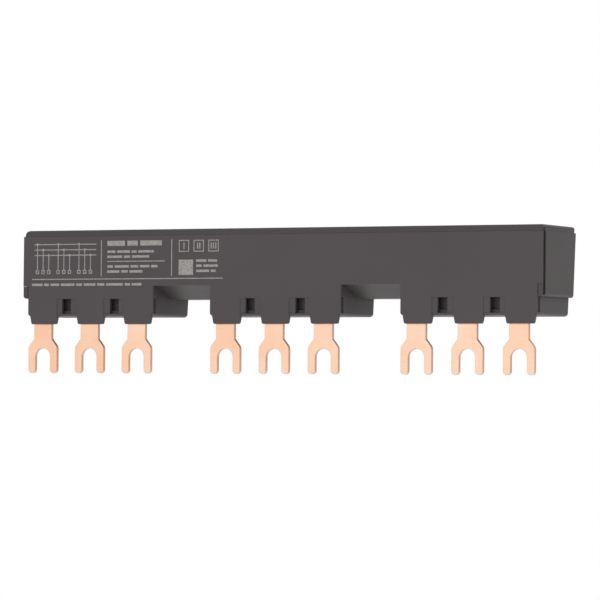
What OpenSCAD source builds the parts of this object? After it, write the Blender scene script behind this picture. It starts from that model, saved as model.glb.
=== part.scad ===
// Three-phase comb busbar for three motor-protective breakers side by side.
// Two moulded shells hold three stamped copper bars one behind the other. Every bar sends one fork
// tongue to each breaker, and all the tongues are bent into one common plane at the front.
// X runs along the row of forks, the printed face looks towards -Y and the forks point down.
// The origin is the screw axis of the middle fork, halfway through the copper.

/* [Layout] */
// Number of breakers in the row
modules = 3; // [2:1:5]
// Distance from one breaker to the next
module_pitch = 54; // [50:1:63]
// Distance from one terminal screw to the next
pole_pitch = 14; // [13.5:0.1:15]
// Shift of the housing along the row, against the forks
shell_shift = 0.65; // [0:0.05:0.8]

/* [Housing] */
// Height from the top face down to the underside of the long body
body_h = 17.75; // [17.2:0.05:20]
// Depth from the printed face to the leaning back, at the height of the top face
body_depth = 19.9; // [18.5:0.1:24]
// How far the body reaches past the outermost skirt at each end
end_reach = 1.45; // [0.8:0.05:4]
// Thickness of the tray's walls
wall = 1.5; // [1.2:0.05:1.6]
// Thickness of the front shell
cover_t = 1.2; // [1:0.05:1.4]
// Height of the rounded band along the top edge
band_h = 1.6; // [1:0.05:1.8]
// Radius of the band's two upper corners
band_r = 0.8; // [0.5:0.05:1]
// Step from the rounded band out to the faces below it, all the way round
belt_step = 0.3; // [0.2:0.05:0.6]
// Fall of the top face from front to back
top_fall = 0.1; // [0.1:0.1:1]
// How far the back leans in from the top to the bottom of the skirts
back_lean = 1.8; // [0.5:0.1:2]
// Radius of the top edge at the back
back_r = 1.1; // [1:0.1:2.5]
// Rise of the body's underside at its two ends
end_rise = 0.1; // [0.1:0.05:0.8]
// Radius of the lower corners at the two ends
end_r = 0.8; // [0.3:0.05:0.8]
// Radius of the upright edges at the back
post_r = 0.7; // [0.4:0.1:1.4]

/* [Recess between skirts] */
// Height from the top face down to the lower edge of the face plate between the skirts
plate_h = 14.5; // [14:0.05:15]
// Depth at which the underside between the skirts starts to slope
slope_start = 2.2; // [1.4:0.1:3]
// Depth at which the sloped underside meets the flat underside
slope_depth = 9.5; // [6:0.1:12]

/* [Skirts] */
// Width of the skirt in front of each breaker
skirt_w = 37.4; // [37.4:0.1:40]
// Thickness of the skirt boxes' side walls
skirt_wall = 1.1; // [0.8:0.05:1.1]
// Height from the top face down to the underside of the skirts
skirt_h = 22.3; // [21.9:0.1:24]
// Radius of the lower edges of the skirts
skirt_r = 0.8; // [0.4:0.05:1.1]
// Depth of the shallow panels between the shrouds
panel_depth = 0.15; // [0.1:0.05:0.3]

/* [Shrouds] */
// Width of a shroud where it leaves the skirt
shroud_w = 8.1; // [7.6:0.1:9]
// Width of a shroud at its lower edge
shroud_tip_w = 7.5; // [6.6:0.1:7.5]
// How far the shrouds hang below the skirts
shroud_drop = 2; // [1:0.05:2.5]
// Thickness of the shroud in front of the copper
shroud_t = 0.75; // [0.6:0.05:0.9]
// Radius of the lower corners of a shroud
shroud_r = 0.5; // [0.2:0.05:0.7]

/* [Windows] */
// Width of the windows between the shrouds
window_w = 2.6; // [2:0.1:3.5]
// Distance from the middle of a skirt to each of its two windows
window_x = 7.15; // [6.8:0.05:7.4]
// Height from the underside of a skirt up to the upper edge of its windows
window_top = 4.5; // [4.3:0.05:4.8]
// Height of the windows
window_h = 3.8; // [3:0.05:3.9]
// Width of the screens that keep fingers and wires off the copper behind the windows
screen_w = 4.2; // [3.6:0.1:4.6]
// Thickness of the screens behind the windows
screen_t = 0.6; // [0.4:0.05:0.8]

/* [Parting line] */
// Thickness of the front shell's thin outer edge
lip_t = 0.25; // [0.2:0.05:0.5]
// Width of the shadow grooves behind that edge
groove_w = 1.25; // [1:0.05:1.5]
// Depth of the shadow grooves at the two ends
groove_depth = 0.8; // [0.4:0.05:0.9]
// Depth of the shadow grooves beside the skirts
side_groove_depth = 0.35; // [0.2:0.05:0.4]
// Distance from the top face down to where the end grooves start
groove_top = 0.9; // [0.6:0.05:1.2]
// Distance from the underside of the ends up to where the end grooves stop
groove_rise = 0.4; // [0.2:0.05:0.8]
// Gap at the parting line
seam = 0.05; // [0.02:0.01:0.1]
// Gap left between parts that fit into each other
fit_gap = 0.1; // [0.05:0.01:0.15]
// Height of the ribs that locate the front shell in the tray
spigot_h = 1.4; // [0.8:0.1:1.6]
// Thickness of the ribs that locate the front shell in the tray
spigot_t = 0.9; // [0.7:0.1:1.2]

/* [Copper] */
// Thickness of the copper
bar_t = 1; // [0.8:0.05:1.2]
// Height of the three long bars
bar_h = 10; // [8:0.1:10.2]
// Height from the top face down to the upper edge of the bars
bar_top = 2.4; // [2.1:0.1:2.6]
// Distance from one bar to the next one behind it
bar_pitch = 5.2; // [4.8:0.1:5.3]
// Gap between a bar's end and the end wall of the tray
bar_end_gap = 0.7; // [0.2:0.1:0.8]
// Inner radius of the bends
bend_r = 0.5; // [0.3:0.05:0.6]
// Height from the top face down to the level part of the bent tongues
level_drop = 18.3; // [17.6:0.1:18.6]

/* [Forks] */
// Width of the tongue above the fork
neck_w = 5.3; // [4.6:0.1:6]
// Width across the two prongs
fork_w = 8.6; // [8.2:0.1:9.4]
// Gap at each side of a tongue where it leaves the housing
neck_gap = 0.15; // [0.1:0.05:0.3]
// Width of the slot, for an M4 terminal screw
slot_w = 4.4; // [4:0.1:4.8]
// Length of the prongs below the screw axis
prong_h = 4.2; // [3:0.1:5.5]
// Height from the top face down to the screw axis
axis_drop = 32.7; // [31.5:0.05:35]
// Height from the screw axis up to where the shoulders start
shoulder_top = 4.6; // [4.2:0.1:5.5]
// Height from the screw axis up to where the shoulders end
shoulder_end = 2.6; // [1.8:0.1:2.8]
// Radius of the corners of the prongs; the shoulders are rounded by twice as much
prong_r = 0.9; // [0.3:0.05:0.9]

/* [Separators] */
// Thickness of the separator plates
plate_t = 0.8; // [0.6:0.05:1.2]
// Height from the lower edge of the first separator plate to the upper edge of the bars
plate_1_h = 12.2; // [11.5:0.1:12.6]
// Height from the lower edge of the second separator plate to the upper edge of the bars
plate_2_h = 14; // [12.5:0.1:14.2]
// Thickness of the spacer ribs and of the walls between the tongues
rib_t = 1.2; // [0.8:0.1:1.5]
// Height of the spacer ribs
rib_h = 9; // [7:0.1:9.5]

/* [Hidden] */
$fn = 64;
arc_steps = 6;
past = 1;

top_z = axis_drop;
poles = [-pole_pitch, 0, pole_pitch];
module_x = [for (i = [0 : modules - 1]) (i - (modules - 1) / 2) * module_pitch];
skirt_x = [for (x = module_x) x + shell_shift];
body_w = module_pitch * (modules - 1) + skirt_w + 2 * end_reach;
mid_x = shell_shift;

// Rib stations: on both sides of each middle tongue, and halfway between neighbouring breakers.
near_x = [for (x = skirt_x, side = [-1, 1]) x + side * window_x];
far_x = [for (i = [0 : modules - 2]) skirt_x[i] + module_pitch / 2];
rib_x = concat(near_x, far_x);

half_w = body_w / 2;
hollow_half = half_w - belt_step - wall;
part_y = cover_t + seam;
fork_y = shroud_t + fit_gap;
bend_mid = bend_r + bar_t / 2;
bar_y = [for (i = [0 : 2]) fork_y + 2 * bend_mid + fit_gap + i * bar_pitch];
split_y = [for (i = [0 : 1]) (bar_y[i] + bar_t + bar_y[i + 1]) / 2];

band_z = top_z - band_h;
body_z = top_z - body_h;
end_z = body_z + end_rise;
plate_z = top_z - plate_h;
skirt_z = top_z - skirt_h;
shroud_z = skirt_z - shroud_drop;
bar_z = top_z - bar_top - bar_h;
level_z = top_z - level_drop;
plate_low = [top_z - bar_top - plate_1_h, top_z - bar_top - plate_2_h];
rib_z = bar_z + (bar_h - rib_h) / 2;
window_z = skirt_z + window_top - window_h;
floor_z = skirt_z + wall;

slope_rise = plate_z - body_z;
slope_run = slope_depth - slope_start;
slope_wall = wall * sqrt(slope_run * slope_run + slope_rise * slope_rise) / slope_run;

// Depth of the back at a given height, and height of the top at a given depth.
function back_y(z) = body_depth - back_lean * (top_z - z) / skirt_h;
function roof_z(y) = top_z - top_fall * y / body_depth;
// Points on an arc about c, from angle a to angle b.
function arc(c, r, a, b) =
    [for (i = [0 : arc_steps]) let (t = a + (b - a) * i / arc_steps) c + r * [cos(t), sin(t)]];

// Depths are counted from the printed face. This moves a piece so that the forks' middle is at zero.
module in_frame() {
    translate([0, -fork_y - bar_t / 2, 0]) children();
}

// A section drawn in Y and Z, run along X from one end to the other.
module run_x(from, to) {
    translate([from, 0, 0]) rotate([90, 0, 90]) linear_extrude(to - from) children();
}

// An outline drawn in X and Z, run along Y from one depth to another.
module run_y(from, to) {
    translate([0, to, 0]) rotate([90, 0, 0]) linear_extrude(to - from) children();
}

// Section of the long body above its underside: the round front edge, falling roof and leaning back.
module band_section() {
    back_c = [body_depth - belt_step - back_r, roof_z(body_depth) - back_r];
    polygon(concat(
        [[belt_step, band_z]],
        arc([belt_step + band_h, band_z], band_h, 180, 90),
        arc(back_c, back_r, 90, 0),
        [[back_y(body_z) - belt_step, body_z], [belt_step, body_z]]
    ));
}

// Section of the plain part of the body, which stands proud of the band all the way round.
module belt_section() {
    polygon([[0, body_z], [0, band_z], [back_y(band_z), band_z], [back_y(body_z), body_z]]);
}

// Outline of the band seen from the front, with its two round corners.
module band_outline() {
    half = half_w - belt_step;
    polygon(concat(
        [[mid_x + half, end_z]],
        arc([mid_x + half - band_r, top_z - band_r], band_r, 0, 90),
        arc([mid_x - half + band_r, top_z - band_r], band_r, 90, 180),
        [[mid_x - half, end_z]]
    ));
}

// Outline of the belt seen from the front. Its ends stop a little above the underside.
module belt_outline() {
    half = half_w;
    inner = half - end_reach;
    polygon(concat(
        [[mid_x - half, band_z], [mid_x + half, band_z]],
        arc([mid_x + half - end_r, end_z + end_r], end_r, 0, -90),
        [[mid_x + inner, end_z], [mid_x + inner, body_z], [mid_x - inner, body_z], [mid_x - inner, end_z]],
        arc([mid_x - half + end_r, end_z + end_r], end_r, -90, -180)
    ));
}

// The long body with its full outer shape, before it is hollowed and parted.
module body_form() {
    difference() {
        union() {
            round_backed(belt_step) intersection() {
                run_x(mid_x - half_w, mid_x + half_w) band_section();
                run_y(-past, body_depth + past) band_outline();
            }
            round_backed(0) intersection() {
                run_x(mid_x - half_w, mid_x + half_w) belt_section();
                run_y(-past, body_depth + past) belt_outline();
            }
        }
        underside_slope();
    }
}

// Rounds both upright edges at the back of a form that is smaller than the body by the given step.
module round_backed(step) {
    difference() {
        children();
        for (side = [-1, 1]) back_corner(mid_x + side * (half_w - step), side, step);
    }
}

// What is cut away below the face plate and the sloped underside between the skirts.
module underside_slope() {
    gap = module_pitch - skirt_w;
    for (x = far_x) run_x(x - gap / 2, x + gap / 2)
        polygon([[-past, body_z - past], [-past, plate_z], [slope_start, plate_z],
                 [slope_depth, body_z], [slope_depth, body_z - past]]);
}

// What is cut away to round one upright edge at x. It leans with the back.
module back_corner(x, side, step) {
    translate([x - side * post_r, body_depth - step, top_z]) rotate([-atan2(back_lean, skirt_h), 0, 0])
        translate([0, -post_r, -skirt_h - past]) linear_extrude(skirt_h + 2 * past) difference() {
            translate([min(0, side * 2 * post_r), 0]) square(2 * post_r);
            circle(post_r);
        }
}

// One skirt box, with round lower edges all the way round.
module skirt_form(x) {
    half = skirt_w / 2;
    intersection() {
        run_x(x - half, x + half) polygon(concat(
            [[0, body_z + past], [0, skirt_z + skirt_r]],
            arc([skirt_r, skirt_z + skirt_r], skirt_r, 180, 270),
            arc([back_y(skirt_z) - skirt_r, skirt_z + skirt_r], skirt_r, 270, 360),
            [[back_y(body_z + past), body_z + past]]
        ));
        run_y(-past, body_depth + past) polygon(concat(
            [[x + half, body_z + past]],
            arc([x + half - skirt_r, skirt_z + skirt_r], skirt_r, 0, -90),
            arc([x - half + skirt_r, skirt_z + skirt_r], skirt_r, -90, -180),
            [[x - half, body_z + past]]
        ));
    }
}

// The space inside the long body.
module body_hollow() {
    difference() {
        run_x(mid_x - hollow_half, mid_x + hollow_half) polygon([
            [0, body_z + wall], [0, top_z - wall],
            [body_depth - wall, roof_z(body_depth) - wall], [back_y(body_z) - wall, body_z + wall]
        ]);
        gap = module_pitch - skirt_w + 2 * skirt_wall;
        for (x = far_x) run_x(x - gap / 2, x + gap / 2)
            polygon([[0, body_z - past], [0, plate_z + slope_wall], [slope_start, plate_z + slope_wall],
                     [slope_depth, body_z + slope_wall], [slope_depth, body_z - past]]);
        for (side = [-1, 1]) {
            inner = mid_x + side * (half_w - end_reach - skirt_wall);
            run_x(min(inner, inner + side * end_reach), max(inner, inner + side * end_reach))
                polygon([[0, body_z], [0, end_z + wall], [body_depth, end_z + wall], [body_depth, body_z]]);
        }
    }
}

// The space inside one skirt box, open to the body above it.
module skirt_hollow(x) {
    half = skirt_w / 2 - skirt_wall;
    run_x(x - half, x + half) polygon([
        [0, floor_z], [0, body_z + wall + past],
        [back_y(body_z + wall) - wall, body_z + wall + past], [back_y(floor_z) - wall, floor_z]
    ]);
}

// Outline of the front shell. At the two ends it stops at the lower edge of the face plate.
module cover_outline() {
    translate([mid_x - half_w, plate_z]) square([2 * half_w, plate_h + past]);
    for (x = skirt_x) translate([x - skirt_w / 2, skirt_z]) square([skirt_w, skirt_h]);
}

// The upright shadow grooves behind the front shell's edge, at both ends and beside every skirt.
// At the ends they run on up into the band, behind its round front edge.
module shadow_grooves() {
    low = end_z + groove_rise;
    for (side = [-1, 1]) {
        upright_cut(mid_x + side * half_w, groove_depth, lip_t, low, band_z);
        upright_cut(mid_x + side * half_w, groove_depth, belt_step + 2 * lip_t, low, top_z - groove_top);
    }
    for (x = skirt_x, side = [-1, 1])
        upright_cut(x + side * skirt_w / 2, side_groove_depth, lip_t, skirt_z + skirt_r, end_z);
}

// A cut of the given depth on both sides of an outer face at x, from depth y on.
module upright_cut(x, depth, y, low, high) {
    translate([x - depth, y, low]) cube([2 * depth, lip_t + groove_w - y, high - low]);
}

// Outline of one shroud tip, with tapered sides and small round corners.
module shroud_outline(x) {
    slant = atan2((shroud_w - shroud_tip_w) / 2, shroud_drop);
    low = [x + shroud_tip_w / 2 - shroud_r, shroud_z + shroud_r];
    low_left = [x - shroud_tip_w / 2 + shroud_r, shroud_z + shroud_r];
    polygon(concat(
        [[x + shroud_w / 2, window_z + window_h], [x + shroud_w / 2, skirt_z]],
        arc(low, shroud_r, -slant, -90),
        arc(low_left, shroud_r, -90, -180 + slant),
        [[x - shroud_w / 2, skirt_z], [x - shroud_w / 2, window_z + window_h]]
    ));
}

// The front shell's face plate and skirts.
module face_plate() {
    intersection() {
        outer_form();
        run_y(-past, cover_t) cover_outline();
    }
}

// Both shells together, before they are hollowed and parted.
module outer_form() {
    difference() {
        union() {
            body_form();
            for (x = skirt_x) skirt_form(x);
        }
        shadow_grooves();
    }
}

module front_cover() {
    color("#555152") in_frame() difference() {
        union() {
            face_plate();
            for (sx = skirt_x, p = poles) run_y(0, cover_t) shroud_outline(sx + p);
            locating_ribs();
            for (x = rib_x) translate([x - rib_t / 2, cover_t - seam, rib_z])
                cube([rib_t, bar_y[0] - fit_gap - cover_t + seam, rib_h]);
        }
        for (sx = skirt_x) {
            for (side = [-1, 1])
                translate([sx + side * window_x - window_w / 2, -past, window_z])
                    cube([window_w, cover_t + 2 * past, window_h]);
            skirt_panels(sx);
        }
        for (x = module_x, p = poles) tongue_pocket(x + p);
    }
}

// Shallow panels between the shrouds, from the level of the windows down.
module skirt_panels(sx) {
    low = skirt_z + skirt_r;
    high = window_z + window_h;
    w = pole_pitch - shroud_w;
    for (side = [-1, 1]) translate([sx + side * pole_pitch / 2 - w / 2, -past, low])
        cube([w, past + panel_depth, high - low]);
}

// Room behind a shroud for the tongue and its lower bend.
module tongue_pocket(x) {
    w = neck_w + 2 * neck_gap;
    translate([x - w / 2, shroud_t, shroud_z - past])
        cube([w, cover_t, level_z + bar_t / 2 + fit_gap - shroud_z + past]);
}

// Ribs on the back of the front shell that slip inside the tray's roof and ends.
module locating_ribs() {
    half = hollow_half - fit_gap;
    z = roof_z(cover_t + spigot_h) - wall - fit_gap - spigot_t;
    translate([mid_x - half, cover_t - seam, z]) cube([2 * half, spigot_h + seam, spigot_t]);
    for (side = [-1, 1])
        translate([mid_x + side * (half - spigot_t / 2) - spigot_t / 2, cover_t - seam, rib_z])
            cube([spigot_t, spigot_h + seam, z - rib_z]);
}

module rear_housing() {
    color("#5b5959") in_frame() {
        difference() {
            outer_form();
            cover_seat();
            body_hollow();
            for (x = skirt_x) skirt_hollow(x);
            for (x = module_x, i = [0 : 2]) tongue_room(x + poles[i], bar_y[i]);
            for (i = [0 : 1]) plate_room(i);
        }
        tray_ribs();
        skirt_walls();
    }
}

// Room for the front shell: all that lies in front of the parting plane, apart from the end lugs.
module cover_seat() {
    difference() {
        translate([mid_x - body_w, -past, shroud_z - past])
            cube([2 * body_w, part_y + past, top_z - shroud_z + 2 * past]);
        for (side = [-1, 1]) end_lug(side);
    }
}

// The lower corner of each end, which comes forward beside the skirt to the face of the front shell.
module end_lug(side) {
    inner = mid_x + side * (half_w - end_reach + fit_gap);
    translate([min(inner, inner + side * end_reach), -past, body_z])
        cube([end_reach, part_y + 2 * past, plate_z - seam - body_z]);
}

// Room in the tray for one tongue: the notch in the floor where it leaves, its level run, and its
// drop from the bar at depth y. Only the notch cuts anything while the level run clears the floor.
module tongue_room(x, y) {
    w = neck_w + 2 * neck_gap;
    left = x - w / 2;
    low = level_z - bar_t / 2 - fit_gap;
    translate([left, -past, skirt_z - past])
        cube([w, fork_y + bar_t + fit_gap + past, low - skirt_z + past]);
    translate([left, -past, low]) cube([w, y + bar_t + fit_gap + past, bar_t + 2 * fit_gap]);
    translate([left, y - fit_gap, low]) cube([w, bar_t + 2 * fit_gap, bar_z - low]);
}

// Grooves in the floor of the tray that hold the lower edge of a separator plate.
module plate_room(i) {
    translate([mid_x - hollow_half, split_y[i] - plate_t / 2 - fit_gap, plate_low[i] - fit_gap])
        cube([2 * hollow_half, plate_t + 2 * fit_gap, bar_z - plate_low[i]]);
}

// Ribs inside the back of the tray that the rearmost bar lies against.
module tray_ribs() {
    y = bar_y[2] + bar_t + fit_gap;
    for (x = rib_x) run_x(x - rib_t / 2, x + rib_t / 2) polygon([
        [y, rib_z], [y, rib_z + rib_h],
        [back_y(rib_z + rib_h) - wall / 2, rib_z + rib_h], [back_y(rib_z) - wall / 2, rib_z]
    ]);
}

// Upright walls in the skirt boxes that keep the tongues apart, each with a screen along its front
// edge that closes the window before it.
module skirt_walls() {
    low = floor_z - wall / 2;
    high = plate_low[1] - fit_gap;
    for (x = near_x) {
        run_x(x - rib_t / 2, x + rib_t / 2) polygon([
            [bar_y[0], low], [bar_y[0], high],
            [back_y(high) - wall / 2, high], [back_y(floor_z) - wall / 2, low]
        ]);
        translate([x - screen_w / 2, bar_y[0] - screen_t, low]) cube([screen_w, screen_t, high - low]);
    }
}

// Outline of a fork about its screw axis: neck, shoulders and two prongs.
module fork_outline() {
    half = fork_w / 2;
    neck = neck_w / 2;
    slant = atan2(half - neck, shoulder_top - shoulder_end);
    shoulder_r = prong_r * 2;
    side = concat(
        [[neck, level_z - bend_mid], [neck, shoulder_top]],
        arc([half - shoulder_r, shoulder_end - shoulder_r * tan(slant / 2)], shoulder_r, slant, 0),
        arc([half - prong_r, prong_r - prong_h], prong_r, 0, -90),
        arc([slot_w / 2 + prong_r, prong_r - prong_h], prong_r, -90, -180)
    );
    difference() {
        polygon(concat(side, [for (i = [len(side) - 1 : -1 : 0]) [-side[i][0], side[i][1]]]));
        circle(slot_w / 2);
        translate([-slot_w / 2, -prong_h - past]) square([slot_w, prong_h + past]);
    }
}

// Side view of a tongue: down from its bar, forward on a level run, and down again to the fork.
module tongue_section(y) {
    back = y + bar_t / 2;
    front = fork_y + bar_t / 2;
    translate([y, level_z + bend_mid]) square([bar_t, bar_z + past - level_z - bend_mid]);
    translate([back - bend_mid, level_z + bend_mid]) bend(-90);
    translate([front + bend_mid, level_z - bar_t / 2])
        square([back - front - 2 * bend_mid, bar_t]);
    translate([front + bend_mid, level_z - bend_mid]) bend(90);
}

// A quarter bend of the copper, starting at the given angle.
module bend(start) {
    intersection() {
        difference() {
            circle(bend_r + bar_t);
            circle(bend_r);
        }
        rotate(start) square(bend_r + bar_t);
    }
}

// One copper bar: the long strip, and a tongue with its fork for every breaker.
module busbar(i) {
    pole_x = poles[i];
    half = hollow_half - bar_end_gap;
    translate([mid_x - half, bar_y[i], bar_z]) cube([2 * half, bar_t, bar_h]);
    for (x = module_x) {
        run_x(x + pole_x - neck_w / 2, x + pole_x + neck_w / 2) tongue_section(bar_y[i]);
        translate([x + pole_x, 0, 0]) run_y(fork_y, fork_y + bar_t) fork_outline();
    }
}

module busbar_l1() {
    color("#e9b48f") in_frame() busbar(0);
}

module busbar_l2() {
    color("#eab591") in_frame() busbar(1);
}

module busbar_l3() {
    color("#ebb693") in_frame() busbar(2);
}

// One separator plate with spacer ribs on both faces, between two bars.
module insulator(i) {
    half = hollow_half - 2 * fit_gap;
    mid_y = split_y[i];
    high = roof_z(mid_y + plate_t) - wall - fit_gap;
    translate([mid_x - half, mid_y - plate_t / 2, plate_low[i]])
        cube([2 * half, plate_t, high - plate_low[i]]);
    for (x = rib_x) translate([x - rib_t / 2, bar_y[i] + bar_t + fit_gap, rib_z])
        cube([rib_t, bar_pitch - bar_t - 2 * fit_gap, rib_h]);
}

module insulator_l1_l2() {
    color("#7c7f80") in_frame() insulator(0);
}

module insulator_l2_l3() {
    color("#7c7f80") in_frame() insulator(1);
}

front_cover();
rear_housing();
busbar_l1();
busbar_l2();
busbar_l3();
insulator_l1_l2();
insulator_l2_l3();
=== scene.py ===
import bmesh
import bpy
from math import radians
from mathutils import Matrix, Vector


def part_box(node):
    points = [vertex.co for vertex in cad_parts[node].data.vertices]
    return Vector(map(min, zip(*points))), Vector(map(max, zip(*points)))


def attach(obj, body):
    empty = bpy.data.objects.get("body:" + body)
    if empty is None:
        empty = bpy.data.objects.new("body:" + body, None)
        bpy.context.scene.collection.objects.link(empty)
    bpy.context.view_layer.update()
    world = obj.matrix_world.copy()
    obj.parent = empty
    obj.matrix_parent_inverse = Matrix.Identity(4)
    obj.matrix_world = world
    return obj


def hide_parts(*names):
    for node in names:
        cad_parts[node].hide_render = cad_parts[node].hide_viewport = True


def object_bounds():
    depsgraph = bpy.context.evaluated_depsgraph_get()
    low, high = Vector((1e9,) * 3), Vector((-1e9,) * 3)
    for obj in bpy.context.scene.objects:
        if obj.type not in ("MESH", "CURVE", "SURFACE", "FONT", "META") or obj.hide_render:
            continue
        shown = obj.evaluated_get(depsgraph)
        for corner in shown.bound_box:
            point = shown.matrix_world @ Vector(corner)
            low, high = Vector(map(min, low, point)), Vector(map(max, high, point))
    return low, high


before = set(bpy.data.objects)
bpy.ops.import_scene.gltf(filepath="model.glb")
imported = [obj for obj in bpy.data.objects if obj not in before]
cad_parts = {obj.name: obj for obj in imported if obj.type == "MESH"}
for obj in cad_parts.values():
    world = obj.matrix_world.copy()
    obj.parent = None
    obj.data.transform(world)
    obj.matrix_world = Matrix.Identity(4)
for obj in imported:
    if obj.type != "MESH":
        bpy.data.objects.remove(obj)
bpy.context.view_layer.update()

# ---- Rear housing ------------------------------------------------------------------------------
# The tray that holds the three bars: one injection moulding of dark grey glass-filled polyamide.
# Its mould is spark-eroded, so every outer face is matt, and its edges are slightly broken.
mm = 0.001
tray_grey = "#403b3c"
tray_rough = 0.5
tray_edge_r = 0.16 * mm
merge_r = 0.004 * mm
speck_r = 0.001 * mm
flat_deg = 0.2
sharp_deg = 32
seam_z = 18.2 * mm
seam_reach = 0.35 * mm
grain_mm = 0.35
mottle_mm = 9.0
flow_mm = 38.0


def linear(hex_colour):
    """An sRGB hex colour as the linear RGBA that shaders take."""
    channels = [int(hex_colour[i:i + 2], 16) / 255 for i in (1, 3, 5)]
    return [c / 12.92 if c <= 0.04045 else ((c + 0.055) / 1.055) ** 2.4 for c in channels] + [1.0]


def scaled(colour, factors):
    """A linear colour with its red, green and blue each multiplied by a factor."""
    return [c * f for c, f in zip(colour, factors)] + [1.0]


def per_metre(size_mm):
    """Texture scale at which one cell of a pattern is this many millimetres wide."""
    return 1 / (size_mm * mm)


def new_material(name):
    """An empty material and its node tree."""
    material = bpy.data.materials.new(name)
    material.use_nodes = True
    material.node_tree.nodes.clear()
    return material, material.node_tree


def add(tree, kind, links=(), inputs=(), **settings):
    """Adds a node: its settings, the values of its free inputs, and its links from other nodes."""
    node = tree.nodes.new(kind)
    for name, value in settings.items():
        setattr(node, name, value)
    for name, value in dict(inputs).items():
        node.inputs[name].default_value = value
    for source, output, target in links:
        tree.links.new(source.outputs[output], node.inputs[target])
    return node


def moulded_polyamide(name, colour, roughness):
    """Spark-eroded moulding: fine matt grain, and faint mottling where glass fibres reach the skin.
    The eye sees a flat dark grey that breaks up softly towards the light."""
    # What the sums of two and of three noise patterns mostly lie between.
    pair_low, pair_high = 0.7, 1.3
    trio_low, trio_high = 1.1, 1.9
    tint_change = 0.1
    rough_change = 0.05
    grain_strength = 0.35
    grain_depth = 0.02 * mm
    skin_ior = 1.53
    skin_gloss = 0.25
    material, tree = new_material(name)
    base = linear(colour)
    place = add(tree, "ShaderNodeTexCoord")
    grain, mottle, flow = [
        add(tree, "ShaderNodeTexNoise", [(place, "Object", "Vector")],
            {"Scale": per_metre(size), "Detail": detail})
        for size, detail in ((grain_mm, 3), (mottle_mm, 4), (flow_mm, 1))
    ]
    pair = add(tree, "ShaderNodeMath", [(grain, "Fac", 0), (mottle, "Fac", 1)], operation="ADD")
    trio = add(tree, "ShaderNodeMath", [(pair, 0, 0), (flow, "Fac", 1)], operation="ADD")
    level = add(tree, "ShaderNodeMapRange", [(trio, 0, "Value")],
                {"From Min": trio_low, "From Max": trio_high})
    tint = add(tree, "ShaderNodeValToRGB", [(level, 0, "Fac")])
    for element, factor in zip(tint.color_ramp.elements, (1 - tint_change, 1 + tint_change)):
        element.color = scaled(base, (factor, factor, factor))
    rough = add(tree, "ShaderNodeMapRange", [(pair, 0, "Value")],
                {"From Min": pair_low, "From Max": pair_high,
                 "To Min": roughness - rough_change, "To Max": roughness + rough_change})
    bump = add(tree, "ShaderNodeBump", [(grain, "Fac", "Height")],
               {"Strength": grain_strength, "Distance": grain_depth})
    shader = add(tree, "ShaderNodeBsdfPrincipled",
                 [(tint, "Color", "Base Color"), (rough, 0, "Roughness"), (bump, 0, "Normal")],
                 {"IOR": skin_ior, "Specular IOR Level": skin_gloss})
    add(tree, "ShaderNodeOutputMaterial", [(shader, "BSDF", "Surface")])
    return material


def merged_copy(node):
    """A mesh of a frame node with its loose triangles joined and its flat faces cut up evenly."""
    bm = bmesh.new()
    bm.from_mesh(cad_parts[node].data)
    bmesh.ops.remove_doubles(bm, verts=bm.verts, dist=merge_r)
    bmesh.ops.dissolve_limit(bm, angle_limit=radians(flat_deg), verts=bm.verts, edges=bm.edges)
    bmesh.ops.triangulate(bm, faces=bm.faces)
    return bm


def break_edges(bm, radius):
    """Rounds the outward edges by a small radius. The inward ones stay sharp, and so do those that
    lie along the seam between the tray and the lower edge of the face plate, which close tightly."""
    outward = [
        e for e in bm.edges
        if e.is_convex and e.calc_face_angle(0) > radians(sharp_deg)
        and max(abs(v.co.z - seam_z) for v in e.verts) > seam_reach
    ]
    bmesh.ops.bevel(bm, geom=outward, offset=radius, offset_type="OFFSET", segments=2, profile=0.5,
                    affect="EDGES", material=-1, clamp_overlap=False)
    bmesh.ops.dissolve_degenerate(bm, dist=speck_r, edges=bm.edges)
    bmesh.ops.triangulate(bm, faces=bm.faces)
    for edge in bm.edges:
        edge.smooth = edge.calc_face_angle(0) < radians(sharp_deg)


def finished(bm, name, materials, replaced=None):
    """Makes the mesh a piece of the product with its materials and shading. It takes the place of a
    frame node where one is named."""
    mesh = bpy.data.meshes.new(name)
    bm.to_mesh(mesh)
    bm.free()
    for material in materials:
        mesh.materials.append(material)
    piece = bpy.data.objects.new(name, mesh)
    bpy.context.scene.collection.objects.link(piece)
    normals = piece.modifiers.new("flat faces", "WEIGHTED_NORMAL")
    normals.keep_sharp = True
    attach(piece, "root")
    if replaced:
        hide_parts(replaced)


tray_plastic = moulded_polyamide("moulded polyamide, tray", tray_grey, tray_rough)
bm = merged_copy("rear_housing")
break_edges(bm, tray_edge_r)
finished(bm, "tray", [tray_plastic], "rear_housing")

# ---- Copper bars -------------------------------------------------------------------------------
# Three bars stamped from 1 mm rolled copper strip and bent, laid in the tray one before the other.
# Their faces keep the satin of the rolls, and the sheared edges are duller.
copper_face = "#d1ae96"
copper_edge = "#d3b09c"
face_rough, edge_rough = 0.34, 0.5
face_lines, edge_lines = 0.25, 0.5
bar_edge_r = 0.09 * mm
roll_lines_mm = 0.12
roll_stretch = 40.0
tarnish_mm = 15.0
# Half the length along the bars over which the painted light slope runs, from the shaded left end to
# the lit right end.
light_slope_reach = 70 * mm
edge_normal_y = 0.5


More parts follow.
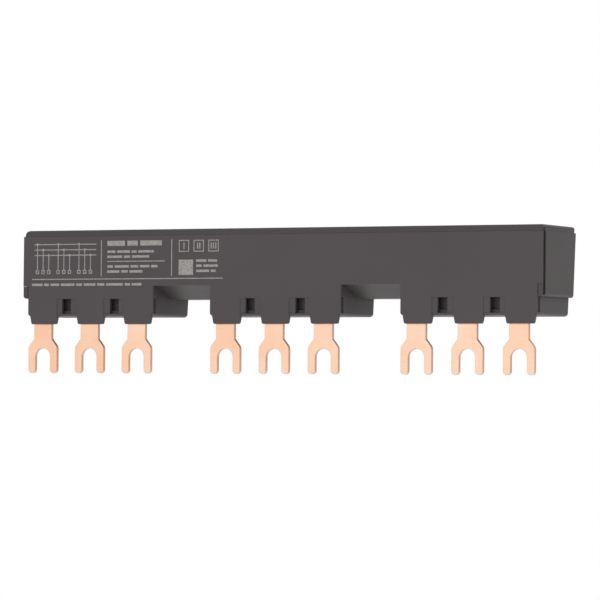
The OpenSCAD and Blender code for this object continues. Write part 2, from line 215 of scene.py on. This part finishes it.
def rolled_copper(name, colour, roughness, lines):
    """Bare copper: warm pink metal with the hair-fine lines of the rolls, which spread its gloss.
    Cloudy tarnish makes it browner in places. Over that, painted shade makes it browner towards the
    left end of the bars, and a painted highlight makes it lighter towards the right end, where more
    light falls."""
    # Ramp ends: tarnished copper with painted shade at one end, clean copper with painted light at the
    # other.
    tarnish_and_shade = (1.0, 0.91, 0.87)
    clean_and_lit = (1.0, 1.08, 1.13)
    tarnish_and_shade_at, clean_and_lit_at = 0.3, 0.7
    # Painted light: how far the left end is shaded and the right end lit. This is added to the tarnish
    # clouds.
    shaded_left_shift, lit_right_shift = -0.16, 0.1
    rough_change = 0.08
    line_depth = 0.005 * mm
    material, tree = new_material(name)
    base = linear(colour)
    place = add(tree, "ShaderNodeTexCoord")
    along = add(tree, "ShaderNodeMapping", [(place, "Object", "Vector")],
                {"Scale": (1 / roll_stretch, 1, 1)})
    hair = add(tree, "ShaderNodeTexNoise", [(along, 0, "Vector")],
               {"Scale": per_metre(roll_lines_mm), "Detail": 2})
    cloud = add(tree, "ShaderNodeTexNoise", [(place, "Object", "Vector")],
                {"Scale": per_metre(tarnish_mm), "Detail": 3})
    where = add(tree, "ShaderNodeSeparateXYZ", [(place, "Object", "Vector")])
    # Painted shading along the bars: browner at the left end and lighter at the right end, where more
    # light falls.
    end = add(tree, "ShaderNodeMapRange", [(where, "X", "Value")],
              {"From Min": -light_slope_reach, "From Max": light_slope_reach,
               "To Min": shaded_left_shift, "To Max": lit_right_shift})
    tarnish_and_light = add(tree, "ShaderNodeMath", [(cloud, "Fac", 0), (end, 0, 1)], operation="ADD")
    tint = add(tree, "ShaderNodeValToRGB", [(tarnish_and_light, 0, "Fac")])
    stops = ((tarnish_and_shade_at, tarnish_and_shade), (clean_and_lit_at, clean_and_lit))
    for element, (position, factors) in zip(tint.color_ramp.elements, stops):
        element.position = position
        element.color = scaled(base, factors)
    rough = add(tree, "ShaderNodeMapRange", [(hair, "Fac", "Value")],
                {"To Min": roughness - rough_change, "To Max": roughness + rough_change})
    bump = add(tree, "ShaderNodeBump", [(hair, "Fac", "Height")],
               {"Strength": lines, "Distance": line_depth})
    shader = add(tree, "ShaderNodeBsdfPrincipled",
                 [(tint, "Color", "Base Color"), (rough, 0, "Roughness"), (bump, 0, "Normal")],
                 {"Metallic": 1.0})
    add(tree, "ShaderNodeOutputMaterial", [(shader, "BSDF", "Surface")])
    return material


rolled = rolled_copper("rolled copper", copper_face, face_rough, face_lines)
sheared = rolled_copper("sheared copper edge", copper_edge, edge_rough, edge_lines)
for phase in ("l3", "l2", "l1"):
    bm = merged_copy(f"busbar_{phase}")
    for face in bm.faces:
        face.material_index = 0 if abs(face.normal.y) > edge_normal_y else 1
    break_edges(bm, bar_edge_r)
    finished(bm, f"bar_{phase}", [rolled, sheared], f"busbar_{phase}")

# ---- Separators --------------------------------------------------------------------------------
# Two ribbed plates between the bars, moulded in a lighter grey polyamide and dropped into the tray.
# The closed housing hides them, so they keep their plain shape.
separator_grey = "#5c5e5f"
separator_rough = 0.55
separator_plastic = moulded_polyamide("moulded polyamide, separator", separator_grey, separator_rough)
for node in ("insulator_l2_l3", "insulator_l1_l2"):
    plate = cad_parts[node]
    plate.data.materials.clear()
    plate.data.materials.append(separator_plastic)

# ---- Front shell -------------------------------------------------------------------------------
# The face plate with its skirts and shrouds, moulded like the tray and snapped onto its front.
# Its face is the smoothest area of the product, because it is printed.
shell_grey = "#443f41"
shell_rough = 0.48
shell_edge_r = 0.12 * mm
shell_plastic = moulded_polyamide("moulded polyamide, face", shell_grey, shell_rough)
bm = merged_copy("front_cover")
break_edges(bm, shell_edge_r)
finished(bm, "front_shell", [shell_plastic], "front_cover")

# ---- Print on the face -------------------------------------------------------------------------
# Grey ink, pad-printed on the left part of the face plate: a line diagram of the three bars with
# their nine tongues, rows of plain bars ruled off from it, and three framed phase marks.
ink_grey = "#96928f"
ink_rough = 0.62
ink_t = 0.03
ink_proud = 0.008
line_w = 0.24
face_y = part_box("front_cover")[0][1]


def printed_bar(bm, left, low, width, height, film=1):
    """A flat bar of ink on the face, given by its left lower corner and its size in millimetres.
    Where two strokes cross, the one with the thicker film lies over the other."""
    place = Matrix.Translation(((left + width / 2) * mm, face_y + (ink_t / 2 - film * ink_proud) * mm,
                                (low + height / 2) * mm))
    size = Matrix.Diagonal((width * mm, ink_t * mm, height * mm, 1))
    bmesh.ops.create_cube(bm, size=1, matrix=place @ size)


def printed_dot(bm, x, z, radius, film):
    """A round dot of ink on the face."""
    place = Matrix.Translation((x * mm, face_y + (ink_t / 2 - film * ink_proud) * mm, z * mm))
    bmesh.ops.create_cone(bm, cap_ends=True, segments=20, radius1=radius * mm, radius2=radius * mm,
                          depth=ink_t * mm, matrix=place @ Matrix.Rotation(radians(90), 4, "X"))


def printed_frame(bm, left, low, width, height):
    """A rectangle drawn with four thin bars that meet end to side."""
    for z in (low, low + height - line_w):
        printed_bar(bm, left, z, width, line_w)
    for x in (left, left + width - line_w):
        printed_bar(bm, x, low + line_w, line_w, height - 2 * line_w)


def printed_row(bm, left, low, widths, height=0.62, gap=0.5):
    """A row of plain bars, one after the other."""
    for width in widths:
        printed_bar(bm, left, low, width, height)
        left += width + gap


# The line diagram: three rails, and a drop with a dot and a square foot for each of nine tongues.
bm = bmesh.new()
rail_left = -70.2
rail_w = 18.6
rail_low = (28.9, 27.5, 26.1)
drop_inset = 0.9
drop_pitch = 1.72
drop_film = 1.5
group_gap = 1.1
dot_r = 0.34
dot_film = 2
foot_low = 21.4
foot_w = 1.0
for phase, z in enumerate(rail_low):
    printed_bar(bm, rail_left, z, rail_w, line_w)
    for group in range(3):
        x = rail_left + drop_inset + group * (3 * drop_pitch + group_gap) + phase * drop_pitch
        drop_low = foot_low + foot_w
        printed_bar(bm, x - line_w / 2, drop_low, line_w, z - drop_low, drop_film)
        printed_dot(bm, x, z + line_w / 2, dot_r, dot_film)
        printed_frame(bm, x - foot_w / 2, foot_low, foot_w, foot_w)

# The rules that part the print into three fields, with a row of bars under the long one.
print_left = -70.9
rule_low = 19.9
rule_w = 56.6
rule_top = 30.1
rule_gap = 0.5
upright_x = (-50.2, -29.4)
upright_low = rule_low + line_w + rule_gap
under_rule = 18.3
printed_bar(bm, print_left, rule_low, rule_w, line_w)
for x in upright_x:
    printed_bar(bm, x, upright_low, line_w, rule_top - upright_low)
printed_row(bm, print_left, under_rule, (3.2, 1.4, 2.6, 4.1, 1.8, 3.5, 2.2, 5.0, 1.6, 2.9))

# The middle field: one row of large bars, and two pairs of small rows with a rule between them.
column_left = -48.3
column_w = 17.0
column_rule_low = 24.4
printed_row(bm, column_left, 28.5, (5.2, 3.1, 6.4), height=1.3, gap=0.7)
printed_bar(bm, column_left, column_rule_low, column_w, line_w)
for z, widths in (
    (26.7, (2.4, 3.8, 1.5, 4.6)),
    (25.4, (4.4, 1.9, 5.1)),
    (22.9, (1.7, 4.2, 2.3, 2.8, 1.9)),
    (21.6, (3.6, 2.0, 3.9)),
):
    printed_row(bm, column_left, z, widths)

# The right field: a framed mark for each phase, with one, two or three strokes, over a solid block
# with three short rows beside it.
mark_left = -27.2
mark_low = 26.8
mark_w = 3.0
mark_gap = 1.3
stroke_w = 0.34
stroke_pitch = 0.66
stroke_inset = 0.7
block_low = 20.9
block_w = 4.2
block_h = 3.9
beside_block = -22.1
for phase in range(3):
    left = mark_left + phase * (mark_w + mark_gap)
    printed_frame(bm, left, mark_low, mark_w, mark_w)
    for stroke in range(phase + 1):
        x = left + mark_w / 2 + (stroke - phase / 2) * stroke_pitch
        printed_bar(bm, x - stroke_w / 2, mark_low + stroke_inset, stroke_w, mark_w - 2 * stroke_inset)
printed_bar(bm, mark_left, block_low, block_w, block_h)
for z, widths in ((24.2, (3.0, 2.6)), (22.9, (1.6, 4.2)), (21.6, (3.8, 1.4))):
    printed_row(bm, beside_block, z, widths)


def printed_ink(name, colour, roughness):
    """Pad-printed ink: a thin matt film whose fine breaks let the dark plastic grain through."""
    break_mm = 0.5
    thin_at, full_at = 0.3, 0.62
    thin = (0.62, 0.62, 0.62)
    full = (1.0, 1.0, 1.0)
    film_strength = 0.2
    film_depth = 0.01 * mm
    material, tree = new_material(name)
    base = linear(colour)
    place = add(tree, "ShaderNodeTexCoord")
    breaks = add(tree, "ShaderNodeTexNoise", [(place, "Object", "Vector")],
                 {"Scale": per_metre(break_mm), "Detail": 3})
    tint = add(tree, "ShaderNodeValToRGB", [(breaks, "Fac", "Fac")])
    stops = ((thin_at, thin), (full_at, full))
    for element, (position, factors) in zip(tint.color_ramp.elements, stops):
        element.position = position
        element.color = scaled(base, factors)
    bump = add(tree, "ShaderNodeBump", [(breaks, "Fac", "Height")],
               {"Strength": film_strength, "Distance": film_depth})
    shader = add(tree, "ShaderNodeBsdfPrincipled",
                 [(tint, "Color", "Base Color"), (bump, 0, "Normal")], {"Roughness": roughness})
    add(tree, "ShaderNodeOutputMaterial", [(shader, "BSDF", "Surface")])
    return material


finished(bm, "face_print", [printed_ink("pad-printed ink", ink_grey, ink_rough)])

# ---- Studio ------------------------------------------------------------------------------------
# A round sheet of matt paper well below the part, soft boxes in front, at the right and behind, and
# an even pale surround.
paper_white = "#f9f9f8"
paper_rough = 0.9
paper_glow = 0.35
floor_drop = 0.08
floor_r = 0.45
white = (1, 1, 1, 1)
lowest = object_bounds()[0][2]
floor_mesh = bpy.data.meshes.new("floor")
bm = bmesh.new()
bmesh.ops.create_circle(bm, cap_ends=True, segments=64, radius=floor_r)
bmesh.ops.translate(bm, verts=bm.verts, vec=(0, 0, lowest - floor_drop))
bm.to_mesh(floor_mesh)
bm.free()
floor = bpy.data.objects.new("floor", floor_mesh)
bpy.context.scene.collection.objects.link(floor)
paper, tree = new_material("matt white paper")
sheet = add(tree, "ShaderNodeBsdfPrincipled", inputs={
    "Base Color": linear(paper_white), "Roughness": paper_rough,
    "Emission Color": white, "Emission Strength": paper_glow,
})
add(tree, "ShaderNodeOutputMaterial", [(sheet, "BSDF", "Surface")])
floor_mesh.materials.append(paper)

# The surround lights the part a little less than it shows to the camera, where it is plain white.
surround_light = 0.76
surround_seen = 1.0
world = bpy.data.worlds.new("surround")
bpy.context.scene.world = world
world.use_nodes = True
tree = world.node_tree
tree.nodes.clear()
ray = add(tree, "ShaderNodeLightPath")
glow = add(tree, "ShaderNodeMix", [(ray, "Is Camera Ray", 0)],
           {2: surround_light, 3: surround_seen}, data_type="FLOAT")
sky = add(tree, "ShaderNodeBackground", [(glow, 0, "Strength")], {"Color": white})
add(tree, "ShaderNodeOutputWorld", [(sky, 0, "Surface")])

# Square soft boxes by name: the place and the side of each in metres, and its power in watts.
box_aim = (0, 0, 0.01)
for name, place, size, power in (
    ("front box", (-0.5, -1.4, 0.2), 1.3, 5.3),
    ("right box", (1.5, -0.1, 0.3), 1.2, 4),
    ("back box", (-0.3, 1.5, 0.5), 1.2, 3),
):
    light = bpy.data.lights.new(name, "AREA")
    light.shape = "SQUARE"
    light.size = size
    light.energy = power
    lamp = bpy.data.objects.new(name, light)
    lamp.location = place
    lamp.rotation_euler = (Vector(box_aim) - Vector(place)).to_track_quat("-Z", "Y").to_euler()
    bpy.context.scene.collection.objects.link(lamp)

# The camera looks at the printed face from the right, slightly upwards, through a long lens.
camera_place = (0.50883, -0.94353, -0.01084)
heading = 28.0
level = 90.0
tilt = 1.354
roll = 0.461
camera_data = bpy.data.cameras.new("camera")
camera_data.lens = 255.47
camera_data.sensor_width = 36.0
camera_data.clip_end = 50
camera = bpy.data.objects.new("camera", camera_data)
camera.matrix_world = (
    Matrix.Translation(camera_place)
    @ Matrix.Rotation(radians(heading), 4, "Z")
    @ Matrix.Rotation(radians(level + tilt), 4, "X")
    @ Matrix.Rotation(radians(roll), 4, "Z")
)
bpy.context.scene.collection.objects.link(camera)
bpy.context.scene.camera = camera
bpy.context.scene.view_settings.view_transform = "Standard"
